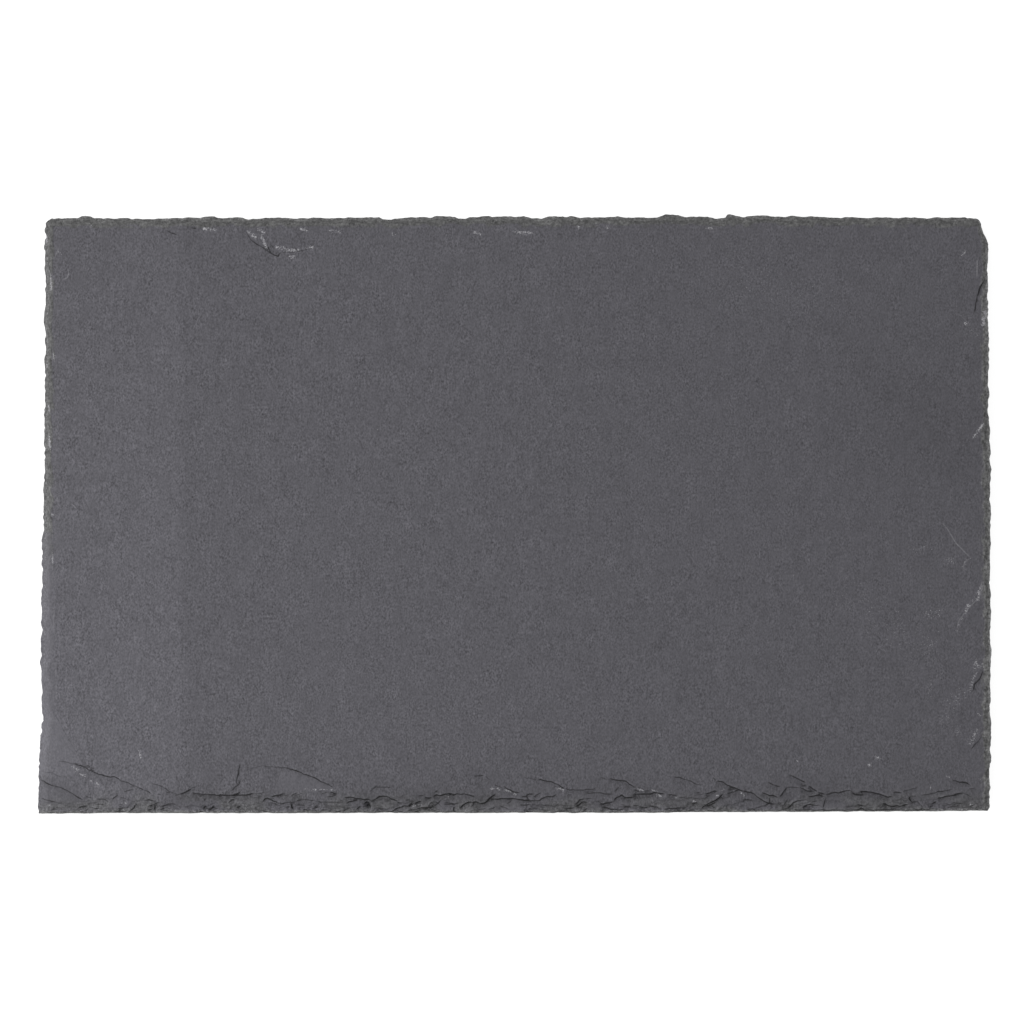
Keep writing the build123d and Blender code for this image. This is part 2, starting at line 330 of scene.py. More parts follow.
    Tear(0.5, [(279.8, 3), (282.6, 4.1), (284.6, 5.3)]),
    Tear(0.6, [(297, 1.9), (299.4, 2.1), (301.3, 1.4)]),
    Tear(0.9, [(303.3, 9.2), (304.8, 8.2), (306, 7.7), (308.2, 7.6), (310.3, 6.8)]),
    Tear(0.5, [(305.7, 13.2), (309.4, 11.8), (311.4, 11.4)]),
    Tear(0.75, [(310.5, 6.9), (312.4, 9.2), (314.2, 11.5)]),
    # The meeting of cracks near the right end, and the corner
    Tear(0.3, [(313.3, 11.2), (319.3, 10.9)]),
    Tear(0.85, [(319.2, 11.2), (322.4, 9.7), (324.8, 9.2)]),
    Tear(0.65, [(314.2, 16.5), (318.2, 14.8), (321.8, 13.1)]),
    Tear(0.5, [(319.2, 12.2), (322.3, 11.9)]),
    Tear(1.0, [(322.4, 11.9), (324.1, 11.1), (326.4, 9)]),
    Tear(0.75, [(326.6, 9.1), (329.8, 8.4)]),
    Tear(1.0, [(322.5, 7), (324.5, 7.6), (327, 7.8), (329.8, 7.2)]),
    Tear(0.7, [(329.7, 7.8), (333.7, 9.2), (335.5, 8.9), (337.8, 9.4), (339.5, 9.8), (341.1, 9.5)]),
    Tear(0.75, [(314.2, 1.9), (315.7, 4), (316.6, 4.9), (317.8, 5.3), (319.5, 5.7), (322.3, 6.1)]),
    Tear(0.6, [(310.4, 1.5), (314.8, 2.1)]),
    Tear(0.4, [(320.5, 2.1), (322.4, 3.7), (324.2, 4.5)]),
    Tear(0.4, [(324.2, 4.9), (326.5, 5.2)]),
    Tear(0.45, [(328.6, 1.9), (329.1, 3.5), (330.1, 6.8)]),
    Tear(0.75, [(340.5, 9.6), (341.7, 8.5), (343, 8), (346.5, 7.7)]),
    Tear(1.2, [(343.8, 9.4), (348.8, 9.1), (352.1, 8.5), (354.2, 7.7), (356, 7), (357.9, 7.1)]),
    Tear(0.75, [(343.1, 4.2), (346.1, 3)]),
    Tear(0.85, [(344.7, 2.5), (346.2, 1.4)]),
    Tear(1.0, [
        (353, 4.1), (355, 4.1), (356.3, 3.3), (358, 2.9),
        (359.7, 3.5), (361, 3.3), (362.6, 3.7), (365, 3.7),
    ]),
    Tear(0.75, [(358.1, 8.9), (360, 9.2), (361.7, 8.7)]),
    Tear(1.0, [(366.2, 5), (365.3, 6), (365.1, 7.6)]),
    Tear(0.5, [(365.7, 5.1), (368.3, 5.4)]),
    Tear(0.25, [(361.8, 9.3), (367.2, 10.7), (368.8, 11.7)]),
    Tear(0.4, [(369.7, 7.9), (374, 8.6), (378, 9.4), (383, 10.4)]),
    Tear(1.0, [(376.5, 6.7), (380.6, 7.3), (382.7, 7.5), (384, 8.4), (387.6, 8.9)]),
    Tear(0.6, [(374.5, 4), (376.3, 5.2)]),
    Tear(0.8, [(382.7, 14.3), (384.8, 13.6), (388.5, 13.2), (390.9, 12.1)]),
    Tear(0.3, [(389.5, 10.6), (392.6, 10.7)]),
    Tear(0.6, [(390.3, 2.9), (392.5, 4)]),
    Tear(0.25, [(379.8, 4.7), (383, 3)]),
    Tear(0.45, [(316.5, 1.7), (345, 1.6), (374.5, 1.7)]),
    # The chip in the back edge, two small ones beside it, and four knocks on the right side
    Tear(0.25, [(117, 238.2), (114.8, 236.7), (111.4, 235.9), (106, 235), (101.8, 235)]),
    Tear(0.8, [(102, 235.2), (100.5, 233.4), (99.2, 233.9), (97.2, 235.2)]),
    Tear(0.5, [(98.6, 234.2), (95.9, 235.9), (92.2, 238.4), (90.5, 239.8)]),
    Tear(0.3, [(92, 238.6), (89.3, 240.5), (87, 244.5)]),
    Tear(0.5, [(97.5, 235.4), (96.7, 237.5)]),
    Tear(0.4, [(99, 236.6), (97.5, 238.6)]),
    Tear(0.5, [(66.8, 245), (64.3, 245.4)]),
    Tear(0.45, [(59, 242.1), (56.5, 243), (53.6, 244.4)]),
    Tear(1.0, [(393.4, 216), (393.9, 218.5), (394.4, 220), (396.3, 223.2)]),
    Tear(0.6, [(392.2, 209.8), (392.7, 213.3), (393.6, 217)]),
    Tear(0.7, [(391.3, 51.2), (392.3, 54.2), (394.4, 56.3), (395.8, 60.2)]),
    Tear(0.5, [(390.8, 27), (392.3, 28.7), (394, 30.8), (395.4, 33.2)]),
]


class Bruise(NamedTuple):
    """A pale place where the stone was crushed: how far it spreads, its line as (along, in from the front),
    and how thickly its pale flecks lie, from 0 to 1."""

    spread: float
    points: list
    strength: float = 1.0


bruises = [
    # Beside the tears of the front edge
    Bruise(0.8, [(14.7, 19.9), (16.8, 18.4)]),
    Bruise(0.5, [(18, 16.6), (20.5, 15.8)]),
    Bruise(0.5, [(22, 13.7), (22.7, 13.7)]),
    Bruise(0.6, [(25, 13), (25.7, 11.5)]),
    Bruise(0.4, [(4.2, 3.6), (6, 3.6)]),
    Bruise(0.5, [(35.5, 4.4), (37, 4.4)]),
    Bruise(0.5, [(42.8, 25.7), (43.2, 23.2)]),
    Bruise(0.5, [(116.4, 10.2), (116.6, 9.5)]),
    Bruise(0.6, [(112.3, 10.4), (118, 10.3), (124.6, 10.2)], 0.62),
    Bruise(0.7, [(156.6, 3.2), (160.6, 3.8)], 0.75),
    Bruise(0.5, [(172.1, 7.2), (172.1, 6.8)]),
    Bruise(0.6, [(189.7, 10.7), (191.4, 10.7)]),
    Bruise(0.6, [(192.7, 10.6), (193.4, 10.3)]),
    Bruise(0.5, [(195.6, 10.1), (198.1, 9.3)]),
    Bruise(0.6, [(199.6, 8.5), (200.2, 8.3)]),
    Bruise(0.5, [(217.3, 10.7), (218.2, 10.7)]),
    Bruise(0.6, [(219, 10.6), (220.3, 9.8)]),
    Bruise(0.5, [(251.5, 10.3), (253.5, 10)]),
    Bruise(0.5, [(257.5, 10.2), (259.2, 9.4)]),
    Bruise(0.7, [(259.6, 8.2), (261, 7.2)]),
    Bruise(0.4, [(267.4, 6.9), (267.9, 6.7)]),
    Bruise(0.5, [(274.7, 5.4), (275.4, 5.4)]),
    Bruise(0.5, [(284.2, 7.6), (285, 7.9)]),
    Bruise(0.4, [(286.4, 10), (287.7, 10.4)]),
    Bruise(0.6, [(294.6, 9), (296, 8)]),
    Bruise(0.9, [(348.2, 20.7), (348.6, 20.7)]),
    Bruise(0.9, [(351, 23.8), (352, 23.4)]),
    Bruise(0.4, [(317.8, 22.4), (318.4, 22.4)]),
    Bruise(0.5, [(373.9, 11.3), (373.9, 10.7)]),
    Bruise(0.5, [(380.6, 15.8), (381.5, 15.5)]),
    Bruise(0.4, [(394.2, 14.4), (394.6, 14.4)]),
    Bruise(0.4, [(392, 8.2), (392.8, 8.3)]),
    Bruise(0.6, [(390.2, 4), (390.9, 4.1)]),
    # Along the front lip
    Bruise(0.4, [(70.5, 1), (71.7, 1)]),
    Bruise(0.4, [(88.6, 1), (89.5, 1)]),
    Bruise(0.4, [(376.4, 1.5), (379.4, 1.5)]),
    Bruise(0.4, [(386.4, 1.5), (387.8, 1.5)]),
    Bruise(0.4, [(390.2, 1.8), (391.5, 1.8)]),
    Bruise(0.8, [(58, 1.1), (100, 1.1)], 0.55),
    Bruise(0.8, [(228, 1.3), (312, 1.4)], 0.55),
    Bruise(0.8, [(356, 1.6), (398, 1.9)], 0.6),
    # Along the back edge and round its chip
    Bruise(0.6, [(22, 246.3), (22.6, 246.2)]),
    Bruise(0.9, [(69.5, 245), (74.4, 244.3)]),
    Bruise(0.9, [(88, 243.5), (91.5, 241.4)]),
    Bruise(0.8, [(92.6, 244.6), (95.1, 243.4)]),
    Bruise(0.9, [(93.9, 242), (96, 236.8)]),
    Bruise(0.8, [(100.1, 237), (103.5, 236.4)]),
    Bruise(0.7, [(104.3, 236), (111.4, 236.6)]),
    Bruise(0.6, [(112.7, 236.9), (115.2, 237.3)]),
    Bruise(0.6, [(105.6, 233.4), (107.3, 233.4)]),
    Bruise(0.6, [(103.5, 228.8), (105.2, 228.4)]),
    Bruise(0.9, [(110.2, 244.9), (112.7, 244.1)]),
    Bruise(0.6, [(122.3, 244), (127, 243.7)]),
    Bruise(0.6, [(148.7, 242.7), (149.6, 242.5)]),
    Bruise(0.7, [(183, 243.4), (185.7, 242.8)]),
    Bruise(0.8, [(200, 243.5), (206.5, 243)]),
    Bruise(0.8, [(226.6, 246), (226.6, 245)]),
    Bruise(0.8, [(238.3, 245.9), (238.7, 245)]),
    Bruise(0.5, [(280, 245.3), (283, 244.8)]),
    Bruise(0.6, [(387.2, 234), (388.4, 235.7)]),
    # Up the right side
    Bruise(1.3, [(396.6, 210), (396, 205)]),
    Bruise(0.6, [(388.2, 205.4), (389, 205)]),
    Bruise(3.0, [(387.5, 208), (392.5, 200)], 0.42),
    Bruise(0.7, [(396, 163.4), (393.6, 160), (391.9, 157.6)]),
    Bruise(0.8, [(394.6, 95.2), (394, 92.4), (393.6, 89.5)]),
    Bruise(0.7, [(389.8, 87.7), (388.4, 85.2)]),
    Bruise(1.3, [(392.7, 64), (392.7, 61.5), (395.4, 62)], 0.82),
    Bruise(1.0, [(392.7, 59), (391.5, 55.5), (389.8, 51.5)], 0.8),
    Bruise(1.0, [(399, 6), (399, 150), (398.2, 205), (397.8, 236)], 0.5),
    Bruise(0.6, [(394, 41.8), (394.8, 41.6)]),
    Bruise(1.6, [(390.5, 29.5), (393.3, 35.5)], 0.68),
    Bruise(1.2, [(385.4, 36), (385.2, 33)], 0.6),
    # Up the left side
    Bruise(0.9, [(2.7, 60), (3.6, 130), (4.2, 200), (3.9, 240)], 0.5),
    Bruise(0.6, [(4, 242), (4, 239.5)]),
    Bruise(0.7, [(7.2, 192), (6.6, 190.4)]),
    Bruise(0.6, [(4, 188.6), (4, 186.8)]),
    Bruise(0.7, [(4.6, 171), (5.2, 168)]),
    Bruise(0.8, [(5, 158), (5.4, 153)]),
    Bruise(0.6, [(5.6, 226), (6, 219)]),
    Bruise(0.5, [(9, 235.2), (9.6, 234.8)]),
    Bruise(0.5, [(22.4, 130.1), (25.7, 132.9)]),
    Bruise(0.5, [(15.4, 128.9), (15.8, 128.5)]),
    Bruise(0.6, [(5.8, 125.4), (6.8, 125.2)]),
    Bruise(0.6, [(6.2, 109), (6.2, 105.7)]),
    # Scattered flecks on the face near the right side
    Bruise(0.6, [(390.6, 107.2), (388.5, 105.8), (387.5, 103.7), (388.2, 101.2)], 0.7),
    Bruise(0.7, [(396, 97.5), (389, 84.8), (384.8, 76.8)], 0.6),
    Bruise(2.5, [(367.5, 112), (372, 111.3)], 0.55),
    Bruise(2.0, [(380.2, 107.4), (383, 106)], 0.6),
    Bruise(3.0, [(374, 85), (378, 83.5)], 0.55),
    Bruise(2.5, [(375, 75), (373.5, 68)], 0.6),
    Bruise(2.0, [(371.4, 55), (373.5, 50)], 0.6),
    Bruise(5.0, [(386, 50), (379, 38)], 0.42),
    Bruise(16.0, [(340, 90), (372, 70)], 0.3),
    Bruise(16.0, [(290, 225), (330, 215)], 0.3),
]


class Scratch(NamedTuple):
    """A fine pale line on the face: how strong it is, from 0 to 1, and its points as (along, in from the
    front)."""

    strength: float
    points: list


scratches = [
    # Near the right side
    Scratch(0.55, [(378.4, 122.1), (380.5, 120), (384.4, 113.4), (390.6, 107.2)]),
    Scratch(0.4, [(390.6, 107.2), (388.5, 105.8), (387.5, 103.7), (388.2, 101.2)]),
    Scratch(0.5, [(396.2, 96.7), (394.1, 90.7), (388.9, 85.2), (385.7, 81), (384.7, 76.8)]),
    Scratch(0.8, [(393.4, 233), (393.2, 224.1)]),
    # In the back left corner and along the left side
    Scratch(0.6, [(9.3, 237.4), (8, 234.4), (7.2, 232.6)]),
    Scratch(0.6, [(12.5, 228.7), (13.4, 226.6), (12.5, 224.3), (10.4, 223.6)]),
    Scratch(0.7, [(4.1, 229.6), (5.7, 225.4), (6.2, 221.9)]),
    Scratch(0.3, [(6.4, 108), (6.5, 99)]),
    Scratch(0.22, [(6.9, 88), (6.9, 76)]),
    Scratch(0.2, [(7.4, 66), (8.2, 47)]),
]


class Patch(NamedTuple):
    """A place on the face that is paler than the rest, or darker where the number is negative: its middle, as
    (along, in from the front), how far it spreads each way, how much paler it is, and its turn in degrees."""

    middle: tuple
    spread: tuple
    paler: float
    turn: float = 0.0


patches = [
    # Darker ground near the front edge
    Patch((1.5, 14), (3, 3), -0.16),
    Patch((13, 13), (7, 5), -0.08),
    Patch((58, 4), (4, 4), -0.25),
    Patch((58, 13), (6, 9), -0.08),
    Patch((68.5, 5), (3, 2.5), -0.2),
    Patch((138, 5), (4, 3.5), -0.17),
    Patch((157, 6), (4.5, 4), -0.18),
    Patch((165, 7.5), (4, 2.5), -0.18),
    Patch((159, 3.5), (2.5, 2), -0.14),
    Patch((186, 6), (6, 2.5), -0.22),
    Patch((185, 16), (16, 9), -0.06),
    Patch((234, 13), (6, 3), -0.08),
    Patch((254, 9.5), (4, 2), -0.15),
    Patch((295, 9), (2, 1.5), -0.12),
    Patch((332, 3.6), (4, 1.5), -0.14),
    Patch((348.5, 4), (2.5, 2), -0.12),
    # Paler ground near the front edge
    Patch((26, 5.5), (4, 2.5), 0.13),
    Patch((48, 4), (2, 2), 0.14),
    Patch((98, 5), (3, 2.5), 0.12),
    Patch((109.5, 6.5), (2.5, 2.5), 0.18),
    Patch((122, 9), (3, 3), 0.1),
    Patch((132, 5), (2, 2), 0.14),
    Patch((205, 6.3), (2, 1.5), 0.13),
    Patch((257, 3.8), (6, 2.5), 0.22),
    Patch((281, 3.5), (3, 1.6), 0.24),
    Patch((290.5, 10.5), (2, 2), 0.14),
    Patch((305.5, 4.5), (2, 3), 0.2),
    Patch((323, 3.2), (5, 2.5), 0.27),
    Patch((343, 7.5), (3, 2.5), 0.14),
    Patch((382, 7), (20, 5), 0.1),
    Patch((397, 3.5), (2.5, 2.5), 0.12),
    # The shaded ground near the middle of the right side, and the dark streak across it
    Patch((385, 168), (60, 45), -0.05),
    Patch((374, 162), (32, 9), -0.08, -40.5),
]


def beside(line, x, y):
    """Distance from places to a bent line, positive on the right of its direction, and how far along the line
    the nearest point is, as a length from its start and a length from its end."""
    corners = np.array(line, float) + [left, front]
    steps = np.diff(corners, axis=0)
    lengths = np.hypot(*steps.T)
    to_x, to_y = x[:, None] - corners[:-1, 0], y[:, None] - corners[:-1, 1]
    share = np.clip((to_x * steps[:, 0] + to_y * steps[:, 1]) / lengths**2, 0, 1)
    apart = np.hypot(to_x - share * steps[:, 0], to_y - share * steps[:, 1])
    nearest = apart.argmin(axis=1)[:, None]
    on_right = np.sign(steps[:, 1] * to_x - steps[:, 0] * to_y)
    done = np.cumsum(lengths) - lengths + share * lengths
    distance, done = (np.take_along_axis(v, nearest, 1)[:, 0] for v in (apart * on_right, done))
    return distance, done, lengths.sum() - done


def close_to(line, x, y, margin):
    """Which places lie within a margin of the box round a line."""
    low = np.min(line, axis=0) + [left, front] - margin
    high = np.max(line, axis=0) + [left, front] + margin
    return np.flatnonzero((x > low[0]) & (x < high[0]) & (y > low[1]) & (y < high[1]))


# Between the traced tears the front edge has many finer ones, short, and most of them near the lip. Their
# turns are in radians
fine_tear_count = 170
first_start, last_start = 3.0, 393.0
nearest_to_lip, furthest_from_lip = 0.9, 9.4
crowding_to_lip = 1.6
shortest_tear, longest_tear = 1.6, 6.5
tear_turn = 0.4
shallowest_tear, deepest_tear = 0.12, 0.5


def fine_tear(draws):
    """A tear of two equal stretches, with a random place, length, direction, bend and drop."""
    along = draws.uniform(first_start, last_start)
    inside = nearest_to_lip + (furthest_from_lip - nearest_to_lip) * draws.random() ** crowding_to_lip
    stretch = draws.uniform(shortest_tear, longest_tear) / 2
    turn, bend = draws.normal(0, tear_turn), draws.normal(0, tear_turn)
    start = np.array([along, inside])
    half = start + stretch * np.array([math.cos(turn), math.sin(turn)])
    end = half + stretch * np.array([math.cos(turn + bend), math.sin(turn + bend)])
    return Tear(draws.uniform(shallowest_tear, deepest_tear), [start, half, end])


tear_draws = np.random.default_rng(17)
tears += [fine_tear(tear_draws) for _ in range(fine_tear_count)]

# The lines of the tears waver a little
waver_cell = (1.5, 1.5)
waver = 0.25
# A deeper tear has a wider wall. Past it the stone rises again over a run that grows with the tear's length.
# The tear tapers at its ends, and takes this share of its drop off the face
wall_width, wall_growth = 0.3, 0.3
run_length, run_growth = 1.6, 0.12
longest_taper, taper_share = 1.6, 0.3
lost_share = 0.75
# Strips beside its line: pale fresh stone with a painted highlight past its wall, painted shade in the
# crevice at its foot, and a painted highlight on the arris above it
fresh_and_lit_middle, fresh_and_lit_width, fresh_and_lit_share = 0.4, 0.35, 0.6
crevice_shade_middle, crevice_shade_width = 0.6, 1.5
arris_highlight_middle, arris_highlight_width = -0.55, 0.35
# Its crack is nearly two thirds open at this drop, and closes between these distances from the line.
# Where two cracks are near, the deeper one counts as closer
opening_drop = 0.45
crack_full, crack_closed = 0.6, 1.6
deep_outdoes = 0.5
# What counts as far from every crack or scratch
far_away = 9.0


def torn_away(x, y):
    """Depth of stone lost at the tears. Past a tear's line the stone drops over a narrow wall and then rises
    again over a few millimetres. Also, for the open cracks along the tears, the distance to the nearest one,
    how open it is there, from 0 to 1, how much pale fresh stone with a painted highlight shows on its low
    side, how much painted shade lies in the crevice on that side, and how strong the painted highlight is on
    the arris of its high side."""
    lost, opening, fresh_and_lit, crevice_shade, arris_highlight = (np.zeros_like(x) for _ in range(5))
    away, contest = (np.full_like(x, far_away) for _ in range(2))
    x = x + field(x, y, waver_cell, 91, -waver, waver)
    y = y + field(x, y, waver_cell, 92, -waver, waver)
    patchy = field(x, y, (1.7, 1.7), 93, 0.65, 1.25)
    for tear in tears:
        length = np.hypot(*np.diff(tear.points, axis=0).T).sum()
        run = run_length + run_growth * length
        near = close_to(tear.points, x, y, run + 1)
        distance, done, to_go = beside(tear.points, x[near], y[near])
        taper = ease(np.minimum(done, to_go) / min(longest_taper, taper_share * length))
        wall = wall_width + wall_growth * tear.drop
        drop = ease(distance / wall + 0.5) * (1 - ease((distance - wall / 2) / run))
        lost[near] += lost_share * tear.drop * taper * drop
        deep = min(1, tear.drop) * taper
        for strip, most, middle, width in (
            (fresh_and_lit, min(1, fresh_and_lit_share * tear.drop) * taper, fresh_and_lit_middle + wall, fresh_and_lit_width),
            (crevice_shade, deep, crevice_shade_middle, crevice_shade_width),
            (arris_highlight, deep, arris_highlight_middle, arris_highlight_width),
        ):
            strip[near] = np.maximum(strip[near], most * bell(distance - middle, width))
        apart = np.abs(distance)
        score = apart - deep_outdoes * tear.drop * taper
        wins = score < contest[near]
        chosen = near[wins]
        contest[chosen], away[chosen] = score[wins], distance[wins]
        open_here = (1 - math.exp(-tear.drop / opening_drop)) * np.sqrt(taper) * patchy[near]
        opening[chosen] = (open_here * ease(fade(apart, crack_full, crack_closed)))[wins]
    return lost, away, np.clip(opening, 0, 1), fresh_and_lit, crevice_shade, arris_highlight


def crushed(x, y):
    """How bruised the stone is, from 0 to 1: the largest of the bell curves across the bruises' lines, each
    times its strength."""
    pale = np.zeros_like(x)
    widths_shown = 3
    for bruise in bruises:
        near = close_to(bruise.points, x, y, widths_shown * bruise.spread)
        distance = beside(bruise.points, x[near], y[near])[0]
        pale[near] = np.maximum(pale[near], bruise.strength * bell(distance, bruise.spread))
    return pale


def scratched(x, y):
    """Distance to the nearest scratch, and how strong it is there: it fades at its ends and far from it."""
    reach, end_length = 8.0, 2.0
    away, strong = np.full_like(x, reach), np.zeros_like(x)
    for scratch in scratches:
        near = close_to(scratch.points, x, y, reach)
        distance, done, to_go = beside(scratch.points, x[near], y[near])
        apart = np.abs(distance)
        wins = apart < np.abs(away[near])
        chosen = near[wins]
        away[chosen] = distance[wins]
        faded = ease(np.minimum(done, to_go) / end_length) * ease(fade(apart, reach / 2, reach))
        strong[chosen] = scratch.strength * faded[wins]
    return away, strong


def patch_tone(x, y):
    """How much paler the patches make a place: the sum of their bell curves, each along times across."""
    paler = np.zeros_like(x)
    for patch in patches:
        to_x, to_y = x - left - patch.middle[0], y - front - patch.middle[1]
        cosine, sine = math.cos(math.radians(patch.turn)), math.sin(math.radians(patch.turn))
        along, across = to_x * cosine + to_y * sine, to_y * cosine - to_x * sine
        paler += patch.paler * bell(along, patch.spread[0]) * bell(across, patch.spread[1])
    return paler


# The stone breaks off in leaves of one thickness. Each step is level over this share of its length
leaf = 0.4
level_share = 0.6


def in_leaves(loss):
    """Turns a sloping loss of stone into steps, each one leaf deep and mostly level. Also gives where the
    risers are, from 0 to 1."""
    steps = loss / leaf
    whole = np.floor(steps)
    riser = np.clip((steps - whole - level_share) / (1 - level_share), 0, 1)
    return leaf * (whole + ease(riser)), 4 * riser * (1 - riser)


# The crumbled ground along the front: a slope down to the lip, and bumps as (depth, cells, seed, and where
# they start to die out and are gone, in from the lip). The painted shade on the risers and the shattered
# stone die out too
lip_slope, slope_dies_out = 0.7, (0.0, 6.0)
ground_bumps = [(0.75, (5, 2.4), 61, (2.7, 11.7)), (0.4, (1.7, 1), 62, (1.2, 7.2))]
riser_shade_die_out = (2.4, 8.4)
shatter_cells, shatter_dies_out = (9, 4), (1.1, 12.1)


def crumbled_front(along, inside):
    """The steps of the crumbled front edge, the painted shade on their risers, and where the stone is
    shattered. The loss is a slope down to the lip, with wide and narrow bumps that die out further in."""
    loss = lip_slope * fade(inside, *slope_dies_out)
    for depth, cells, seed, dies_out in ground_bumps:
        loss += field(along, inside, cells, seed, -depth, depth) * fade(inside, *dies_out)
    steps, riser_shade = in_leaves(np.clip(loss, 0, None))
    shattered = ease(field(along, inside, shatter_cells, 63, -0.4, 1.6))
    shattered *= ease(fade(inside, *shatter_dies_out))
    return steps, riser_shade * fade(inside, *riser_shade_die_out), shattered


# The power that makes a bevel bulge, the soft border of the broken stone, and the crumbly arris, which
# carries a painted highlight
bevel_bulge = 0.8
broken_border = 0.8
arris_width = 2.6
arris_crumbly = 0.7
# The front half of the left side broke cleanly: how much of the broken look it lacks, and where that ends
clean_share = 0.8
clean_to, rough_from = 95.0, 120.0
# Shattered stone behind the front lip counts as partly broken and partly crumbly
shattered_broken = 0.6
shattered_crumbly = 0.45


def stone_lost(x, y):
    """Depth of stone missing at the chipped bevels and at the front's crumbled steps, how far a place is on a
    broken edge, how crumbly and how much paler it is there, partly with painted light, and the painted shade
    on the steps' risers. A bevel's depth is its height times a power of the share of its reach that is left."""
    from_edges = to_edges(x, y)
    steps, riser_shade, shattered = crumbled_front(*from_edges["front"])
    bevels, paler, broken, crumbly = [], [], [shattered_broken * shattered], [shattered_crumbly * shattered]
    for name, (along, inside) in from_edges.items():
        edge = edges[name]
        reach = edge.bevel_reach * field(along, 0.0, (5, 1), edge.seed + 100, 0.7, 1.3)
        height = edge.bevel_height * field(along, inside, (7, 1.5), edge.seed + 150, 0.75, 1.15)
        bevels.append(height * fade(inside, 0, reach) ** bevel_bulge)
        ragged = edge.broken_reach * field(along, inside, (3, 1.5), edge.seed + 200, 0.75, 1.25)
        rough = ease((ragged - inside) / broken_border)
        arris = ease(fade(inside, 0, arris_width))
        # The band: paler broken stone plus painted light. The arris: a painted highlight
        paler.append(edge.paler * rough + edge.arris_paler * arris)
        if name == "left":
            rough = rough * (1 - clean_share * ease(fade(along, clean_to, rough_from)))
        broken.append(rough)
        crumbly.append(np.maximum(edge.crumbly * rough, arris_crumbly * arris))
    depth, broken, crumbly, paler = (np.maximum.reduce(v) for v in (bevels, broken, crumbly, paler))
    return depth + steps, broken, crumbly, paler, riser_shade


def quads(indices):
    """Faces between neighbouring rows and columns of a grid of vertex numbers, anticlockwise."""
    corners = indices[:-1, :-1], indices[:-1, 1:], indices[1:, 1:], indices[1:, :-1]
    return np.stack(corners, -1).reshape(-1, 4)


def border(indices):
    """The outermost vertices of a grid as a closed loop, anticlockwise from its first corner."""
    return np.concatenate([indices[0], indices[1:, -1], indices[-1, -2::-1], indices[-2:0:-1, 0]])


def stitch(points, fine, coarse):
    """Triangles between a closed loop of many vertices and one of few inside it. Each edge of the fine loop
    goes to the coarse vertex whose stretch it lies in, and each edge of the coarse loop to the end of its
    stretch."""
    apart = np.linalg.norm(points[coarse][:, None, :2] - points[fine][None, :, :2], axis=2)
    nearest = apart.argmin(axis=1)
    fine = np.roll(fine, -nearest[0])
    starts = (nearest - nearest[0]) % len(fine)
    owner = np.searchsorted(starts, np.arange(len(fine)), side="right") - 1
    fan = np.column_stack([fine, np.roll(fine, -1), coarse[owner]])
    closing = np.column_stack([fine[np.roll(starts, -1)], np.roll(coarse, -1), coarse])
    return np.concatenate([fan, closing])


def rows_in(width, count, evenness):
    """Distances in from an edge, closer together beside it: one part grows evenly, the rest as a square."""
    share = np.linspace(0, 1, count)
    return width * (evenness * share + (1 - evenness) * share**2)


# The front strip: columns across the whole slab, close together, and rows in from the front edge
rim_width = 18.0
strip_width = 26.0
rim = rows_in(rim_width, count=22, evenness=0.35)
strip_rows = front + rows_in(strip_width, count=56, evenness=0.6)
between_rims = np.linspace(left + rim_width, right - rim_width, 851)[1:-1]
strip_columns = np.concatenate([left + rim, between_rims, (right - rim)[::-1]])
strip_x, strip_y = np.meshgrid(strip_columns, strip_rows)
strip = np.arange(strip_x.size).reshape(strip_x.shape)

# The other rims: columns up the left side, along the back and down the right, and rows in from the edge
side_share, back_share = np.linspace(0, 1, 331), np.linspace(0, 1, 541)
rim_start = strip_rows[-1]


def three_sides(inset):
    """A line up the left, along the back and down the right of the slab, some way in from the edge."""
    side = rim_start + (back - inset - rim_start) * side_share
    across = left + inset + (right - left - 2 * inset) * back_share
    x = np.concatenate([np.full(len(side), left + inset), across[1:-1], np.full(len(side), right - inset)])
    y = np.concatenate([side, np.full(len(across) - 2, back - inset), side[::-1]])
    return x, y


rim_x, rim_y = np.array([three_sides(inset) for inset in rim]).transpose(1, 0, 2)
rim_index = np.zeros(rim_x.shape, int)
rim_index[:, 1:-1] = strip.size + np.arange(rim_x[:, 1:-1].size).reshape(rim_x[:, 1:-1].shape)
rim_index[:, 0] = strip[-1, : len(rim)]
rim_index[:, -1] = strip[-1, ::-1][: len(rim)]

# The middle of the serving face: a wide grid
cell = 4.5
grid_x = np.linspace(left + rim_width + cell, right - rim_width - cell, 80)
grid_y = np.linspace(rim_start + cell, back - rim_width - cell, 45)
middle_x, middle_y = np.meshgrid(grid_x, grid_y)
plan = np.concatenate(
    [
        np.stack([strip_x, strip_y], -1).reshape(-1, 2),
        np.stack([rim_x, rim_y], -1)[:, 1:-1].reshape(-1, 2),
        np.stack([middle_x, middle_y], -1).reshape(-1, 2),
    ]
)
middle_index = len(plan) - middle_x.size + np.arange(middle_x.size).reshape(middle_x.shape)

# The serving face: slow waves of the cleavage, less the stone lost at the edges and the tears
long_wave, short_wave = 0.16, 0.07
deepest_loss = 3.4
face_x, face_y = onto_outline(*plan.T)
edge_loss, broken, crumbly, edge_paler, riser_shade = stone_lost(*plan.T)
tear_loss, crack_away, crack_open, fresh_and_lit, crevice_shade, arris_highlight = torn_away(face_x, face_y)
waves = field(face_x, face_y, (70, 45), 71, -long_wave, 0)
waves += field(face_x, face_y, (22, 16), 72, -short_wave, 0)
face_z = top + waves - np.clip(edge_loss + tear_loss, 0, deepest_loss)
points = np.column_stack([face_x, face_y, face_z])
inner_loop = np.concatenate([strip[-1, len(rim) - 1 : -len(rim)], rim_index[-1, :0:-1]])
faces = np.concatenate([quads(strip), quads(rim_index[:, ::-1]), quads(middle_index)]).tolist()
faces += stitch(points, inner_loop, border(middle_index)).tolist()

